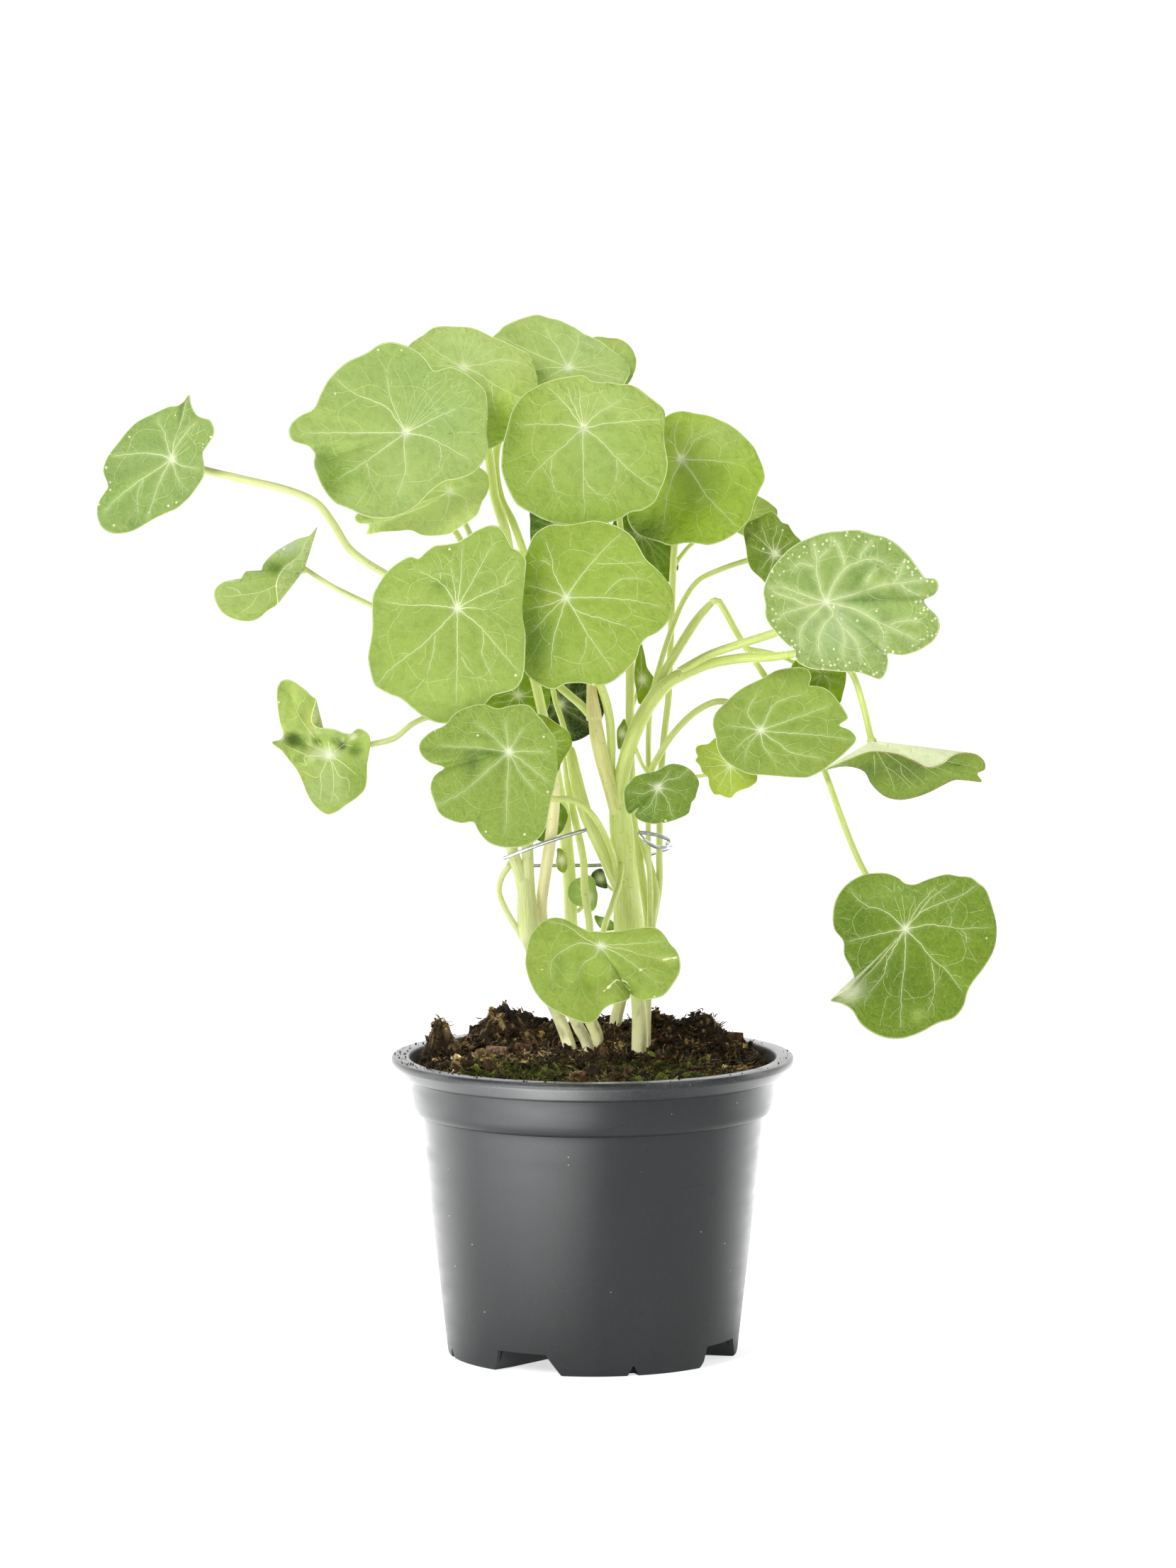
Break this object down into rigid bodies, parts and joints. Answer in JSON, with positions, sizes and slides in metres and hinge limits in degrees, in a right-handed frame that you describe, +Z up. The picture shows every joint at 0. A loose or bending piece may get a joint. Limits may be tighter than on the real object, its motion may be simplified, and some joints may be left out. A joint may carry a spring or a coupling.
{
  "type": "potted nasturtium plant",
  "caption": "Young climbing nasturtium in a round plastic nursery pot: thin round leaves on long bending stalks, tied with a wire, rooted in dark peat.",
  "frame": {"origin": "centre of the pot's base, on the surface that the pot stands on", "axes": "+Z up, +Y from the front of the plant to its back, +X to the right as seen from the front"},
  "size_m": [0.287, 0.13, 0.3359],
  "materials": {
    "leaf": "satin",
    "leaf_grey": "satin",
    "leaf_dark": "satin",
    "leaf_yellow": "satin",
    "stem": "satin",
    "stem_pink": "satin",
    "pot": "satin",
    "soil": "matte",
    "wire": "satin"
  },
  "bodies": {
    "root": {"leaf_01": "leaf", "leaf_02": "leaf", "leaf_03": "leaf", "leaf_04": "leaf", "leaf_05": "leaf", "leaf_06": "leaf", "leaf_07": "leaf", "leaf_08": "leaf_grey", "leaf_09": "leaf_grey", "leaf_10": "leaf_grey", "leaf_11": "leaf", "leaf_12": "leaf", "leaf_13": "leaf_grey", "leaf_14": "leaf_grey", "leaf_15": "leaf_dark", "leaf_16": "leaf_yellow", "leaf_17": "leaf", "leaf_18": "leaf_grey", "leaf_19": "leaf_dark", "leaf_20": "leaf", "leaf_21": "leaf_dark", "leaf_22": "leaf", "leaf_23": "leaf", "leaf_24": "leaf_dark", "leaf_25": "leaf_dark", "leaf_26": "leaf_dark", "leaf_27": "leaf", "leaf_28": "leaf", "leaf_29": "leaf_dark", "leaf_30": "leaf_grey", "leaf_31": "leaf_dark", "leaf_32": "leaf_dark", "leaf_33": "leaf_yellow", "leaf_34": "leaf_yellow", "leaf_35": "leaf", "stem_left": "stem", "stem_pink": "stem_pink", "stem_middle": "stem", "stem_main": "stem", "stem_right": "stem", "pot": "pot", "soil": "soil", "wire_tie": "wire"}
  },
  "joints": []
}
